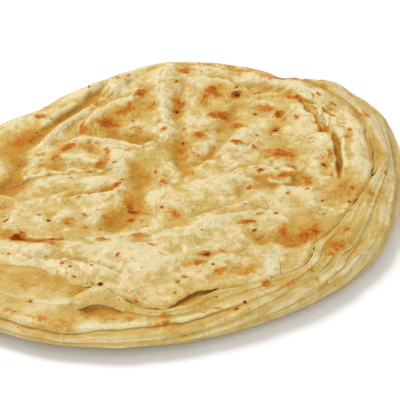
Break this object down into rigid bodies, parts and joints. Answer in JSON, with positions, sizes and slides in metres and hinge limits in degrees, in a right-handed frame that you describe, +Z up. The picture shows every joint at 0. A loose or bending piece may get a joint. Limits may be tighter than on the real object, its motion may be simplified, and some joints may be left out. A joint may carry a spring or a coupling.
{
  "type": "paratha flatbread",
  "caption": "Round layered flatbread of coiled, pressed and griddled dough, with a thick outer coil, folded disc and flaky seams, lying flat; prepared food to serve on a plate or board.",
  "frame": {"origin": "on the table under the middle of the bread's box", "axes": "+Z up through the thickness, +Y towards the high back edge with the fold, -Y towards the low front edge"},
  "size_m": [0.1816, 0.1738, 0.0187],
  "materials": {
    "crust": "soft cooked dough, pale cream to golden with orange-brown toasted spots, satin with a light oil sheen on the edge"
  },
  "bodies": {
    "root": {"bread": "crust"}
  },
  "joints": []
}
